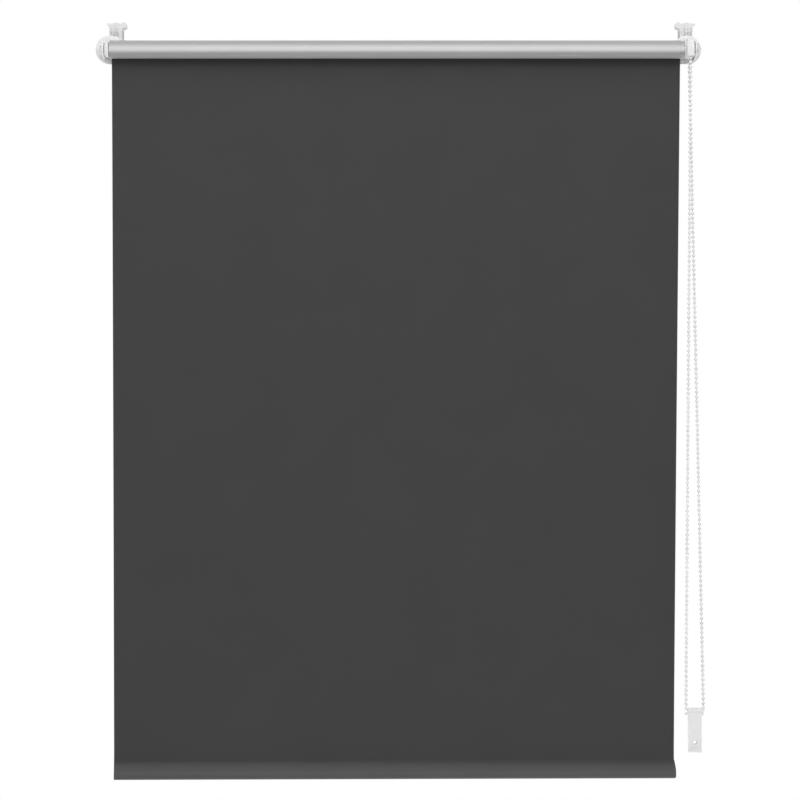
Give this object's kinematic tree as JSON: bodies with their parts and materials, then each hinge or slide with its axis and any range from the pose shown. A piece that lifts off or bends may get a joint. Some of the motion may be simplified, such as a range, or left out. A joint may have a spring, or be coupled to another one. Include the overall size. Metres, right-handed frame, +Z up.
{
  "type": "roller blind",
  "caption": "Roller blind hung from a window sash by two clamps, with a spring-pin idle end, a bead-chain clutch drive, a hanging sheet and a weighted hem.",
  "frame": {"origin": "top edge of the window sash, midway between the two clamps, on the line of the clamp legs' back faces", "axes": "+Z up, +X along the roller to the chain end, +Y towards the window"},
  "size_m": [0.7781, 0.0657, 0.9681],
  "materials": {
    "white_plastic": "moulded, soft sheen",
    "chain_plastic": "moulded beads",
    "tag_plastic": "moulded",
    "foam": "closed-cell foam",
    "steel": "zinc plated",
    "tube_aluminium": "satin anodised",
    "bar_aluminium": "mill",
    "silver_coating": "metallised thermal coating",
    "charcoal_fabric": "fine plain weave",
    "grey_plastic": "moulded"
  },
  "bodies": {
    "root": {"left_clamp_body": "white_plastic", "right_clamp_body": "white_plastic", "left_leg_foam": "foam", "right_leg_foam": "foam", "left_bracket": "white_plastic", "right_bracket": "white_plastic", "left_bracket_screw": "steel", "right_bracket_screw": "steel", "clutch_core": "white_plastic", "clutch_clip": "steel", "wrap_spring_inner": "steel", "wrap_spring_outer": "steel", "chain_guard": "white_plastic", "core_screw": "steel", "chain_over_wheel": "chain_plastic"},
    "roller": {"roller_tube": "tube_aluminium", "fabric_roll": "silver_coating", "idle_plug": "white_plastic", "drive_adapter": "white_plastic", "chain_wheel": "white_plastic", "idle_spring": "steel"},
    "idle_pin_body": {"idle_pin": "white_plastic"},
    "hem": {"fabric_sheet": "charcoal_fabric", "hem_sleeve": "charcoal_fabric", "bottom_bar": "bar_aluminium", "left_bar_cap": "grey_plastic", "right_bar_cap": "grey_plastic"},
    "left_jaw": {"left_clamp_jaw": "white_plastic", "left_jaw_foam": "foam"},
    "right_jaw": {"right_clamp_jaw": "white_plastic", "right_jaw_foam": "foam"},
    "left_screw": {"left_clamp_screw": "white_plastic"},
    "right_screw": {"right_clamp_screw": "white_plastic"},
    "chain_loop": {"chain_front_run": "chain_plastic", "chain_back_run": "chain_plastic", "chain_in_tag": "chain_plastic", "tag_front": "tag_plastic", "tag_back": "tag_plastic"}
  },
  "joints": [
    {"name": "roller_spin", "type": "hinge", "parent": "root", "child": "roller", "pos_m": [0, -0.0245, -0.0281], "axis": [1, 0, 0], "range_deg": [0, 3690]},
    {"name": "hem_lift", "type": "slide", "parent": "root", "child": "hem", "axis": [0, 0, 1], "range_m": [0, 0.88], "deforming": ["fabric_sheet"]},
    {"name": "idle_pin_press", "type": "slide", "parent": "roller", "child": "idle_pin_body", "axis": [1, 0, 0], "range_m": [0, 0.006], "stiffness_N_per_m": 300, "springref_m": -0.003, "deforming": ["idle_spring"]},
    {"name": "left_screw_turn", "type": "hinge", "parent": "root", "child": "left_screw", "pos_m": [-0.36525, 0, 0.0031], "axis": [0, -1, 0], "range_deg": [-864, 1728]},
    {"name": "left_jaw_slide", "type": "slide", "parent": "root", "child": "left_jaw", "axis": [0, -1, 0], "range_m": [-0.003, 0.006]},
    {"name": "right_screw_turn", "type": "hinge", "parent": "root", "child": "right_screw", "pos_m": [0.36525, 0, 0.0031], "axis": [0, -1, 0], "range_deg": [-864, 1728]},
    {"name": "right_jaw_slide", "type": "slide", "parent": "root", "child": "right_jaw", "axis": [0, -1, 0], "range_m": [-0.003, 0.006]},
    {"name": "chain_swing", "type": "hinge", "parent": "root", "child": "chain_loop", "pos_m": [0.368, -0.0245, -0.038], "axis": [1, 0, 0], "range_deg": [-25, 1], "deforming": ["chain_front_run", "chain_back_run", "chain_over_wheel"]}
  ],
  "couplings": [
    {"joint": "roller_spin", "follows": "hem_lift", "rad_per_m": 73.185},
    {"joint": "left_screw_turn", "follows": "left_jaw_slide", "rad_per_m": 5026.5},
    {"joint": "right_screw_turn", "follows": "right_jaw_slide", "rad_per_m": 5026.5}
  ]
}
